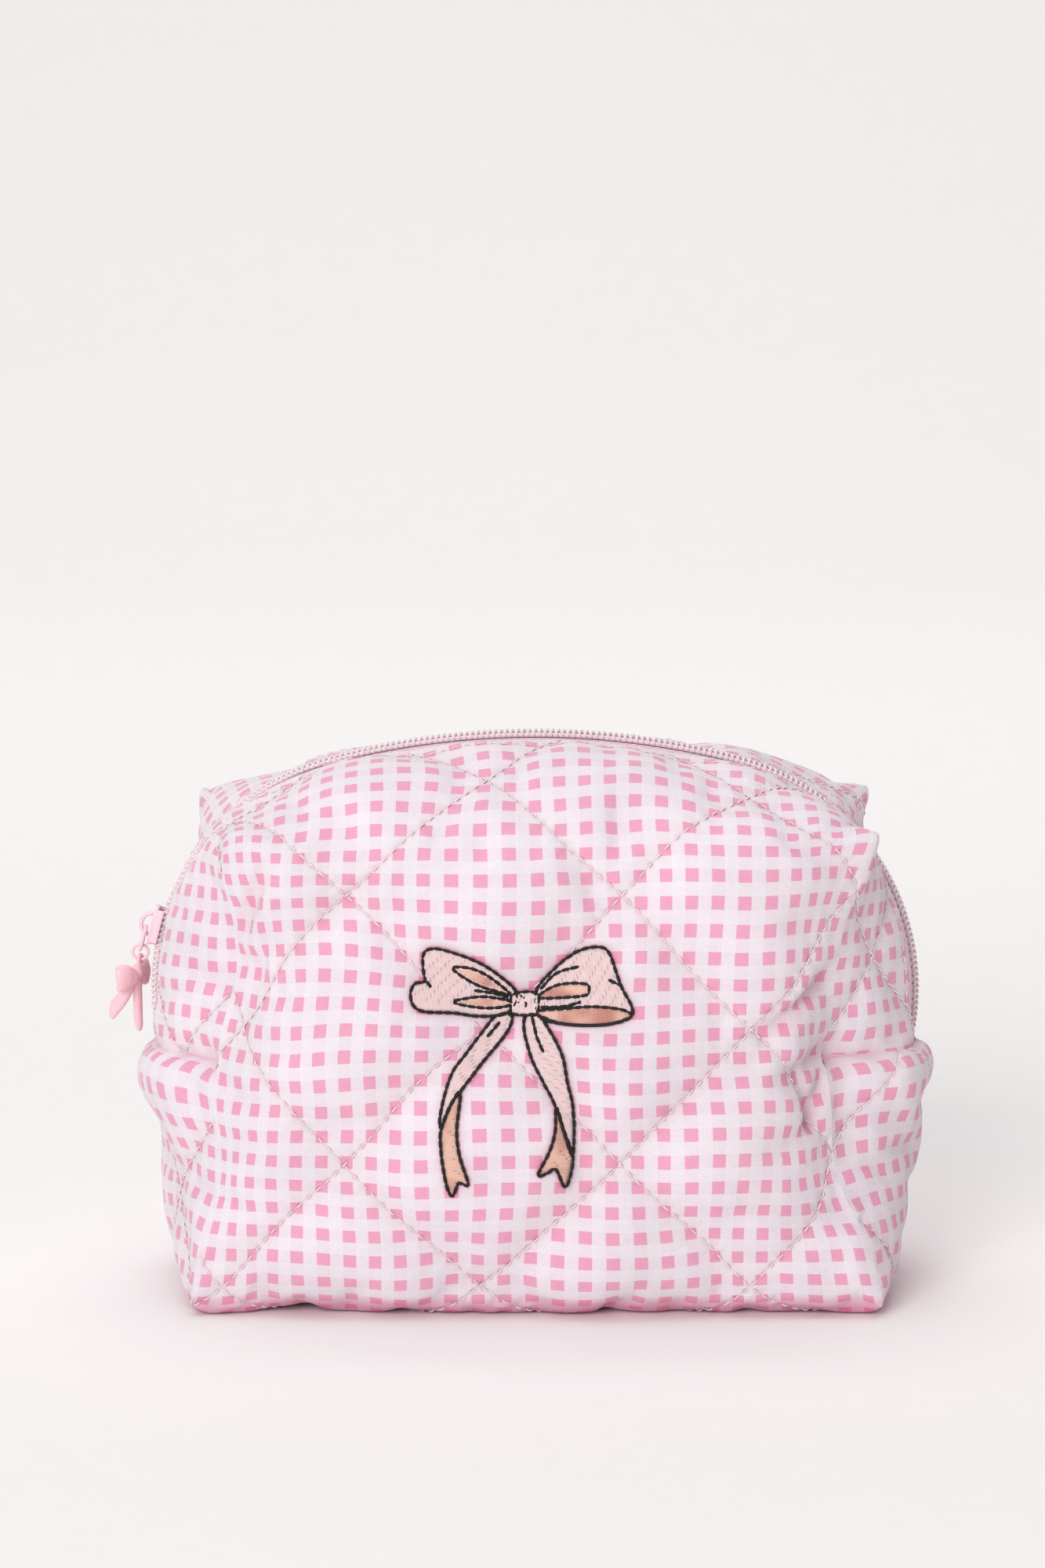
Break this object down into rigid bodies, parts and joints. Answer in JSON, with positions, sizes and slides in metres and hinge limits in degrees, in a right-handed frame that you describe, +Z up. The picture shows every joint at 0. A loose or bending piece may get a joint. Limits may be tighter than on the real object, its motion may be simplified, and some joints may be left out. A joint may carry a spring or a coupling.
{
  "type": "makeup bag",
  "caption": "Boxy quilted fabric pouch with a zip over the top and down both ends, an embroidered bow on the front and a bow charm on the slider.",
  "frame": {"origin": "centre of the base's underside, where the bag stands", "axes": "+X to the right seen from the front, along the zip; -Y is the front with the embroidered bow; +Z up"},
  "size_m": [0.206, 0.107, 0.1419],
  "materials": {
    "gingham_cover": "pink and white eighth-inch gingham, quilted in diamonds",
    "wadding": "loose polyester wadding",
    "lining": "plain weave lining",
    "zip_tape": "woven tape",
    "zip_coil": "nylon coil",
    "seam_binding": "folded binding tape",
    "slider_enamel": "pink enamel on die-cast metal",
    "charm_enamel": "soft pink enamel",
    "bow_thread": "satin-stitched embroidery thread"
  },
  "bodies": {
    "root": {"back_panel": "gingham_cover", "back_panel_lining": "lining", "back_panel_wadding": "wadding", "base_panel": "gingham_cover", "base_panel_lining": "lining", "base_panel_wadding": "wadding", "embroidered_bow": "bow_thread", "front_panel": "gingham_cover", "front_panel_lining": "lining", "front_panel_wadding": "wadding", "left_back_seam_binding": "seam_binding", "left_end_back": "gingham_cover", "left_end_back_lining": "lining", "left_end_back_wadding": "wadding", "left_end_front": "gingham_cover", "left_end_front_lining": "lining", "left_end_front_wadding": "wadding", "left_end_lower": "gingham_cover", "left_end_lower_lining": "lining", "left_end_lower_wadding": "wadding", "left_end_seam_binding": "seam_binding", "left_front_seam_binding": "seam_binding", "left_zip_coil_back": "zip_coil", "left_zip_coil_front": "zip_coil", "left_zip_tape_back": "zip_tape", "left_zip_tape_front": "zip_tape", "right_back_seam_binding": "seam_binding", "right_end_back": "gingham_cover", "right_end_back_lining": "lining", "right_end_back_wadding": "wadding", "right_end_front": "gingham_cover", "right_end_front_lining": "lining", "right_end_front_wadding": "wadding", "right_end_lower": "gingham_cover", "right_end_lower_lining": "lining", "right_end_lower_wadding": "wadding", "right_end_seam_binding": "seam_binding", "right_front_seam_binding": "seam_binding", "right_zip_coil_back": "zip_coil", "right_zip_coil_front": "zip_coil", "right_zip_tape_back": "zip_tape", "right_zip_tape_front": "zip_tape"},
    "front_lip": {"front_lip": "gingham_cover", "front_lip_lining": "lining", "front_lip_wadding": "wadding", "zip_coil_front": "zip_coil", "zip_tape_front": "zip_tape"},
    "back_lip": {"back_lip": "gingham_cover", "back_lip_lining": "lining", "back_lip_wadding": "wadding", "zip_coil_back": "zip_coil", "zip_tape_back": "zip_tape"},
    "slider": {"slider_body": "slider_enamel"},
    "link": {"pull_link": "slider_enamel"},
    "ring": {"charm_ring": "slider_enamel"},
    "bow": {"bow_charm": "charm_enamel"}
  },
  "joints": [
    {"name": "front_lip_fold", "type": "hinge", "parent": "root", "child": "front_lip", "pos_m": [0, -0.0448, 0.1213], "axis": [1, 0, 0], "range_deg": [0, 60]},
    {"name": "back_lip_fold", "type": "hinge", "parent": "root", "child": "back_lip", "pos_m": [0, 0.0448, 0.1213], "axis": [-1, 0, 0], "range_deg": [0, 60]},
    {"name": "slider_run", "type": "hinge", "parent": "root", "child": "slider", "pos_m": [-0.036, 0, 0.075], "axis": [0, 1, 0], "range_deg": [-1, 26]},
    {"name": "link_swing", "type": "hinge", "parent": "slider", "child": "link", "pos_m": [-0.09896, 0, 0.09058], "axis": [0, 1, 0], "range_deg": [0, 90]},
    {"name": "ring_swing", "type": "hinge", "parent": "link", "child": "ring", "pos_m": [-0.10041, 0, 0.08517], "axis": [0, 1, 0], "range_deg": [0, 40]},
    {"name": "bow_swing", "type": "hinge", "parent": "ring", "child": "bow", "pos_m": [-0.10041, 0, 0.08242], "axis": [1, 0, 0], "range_deg": [-25, 25]}
  ]
}
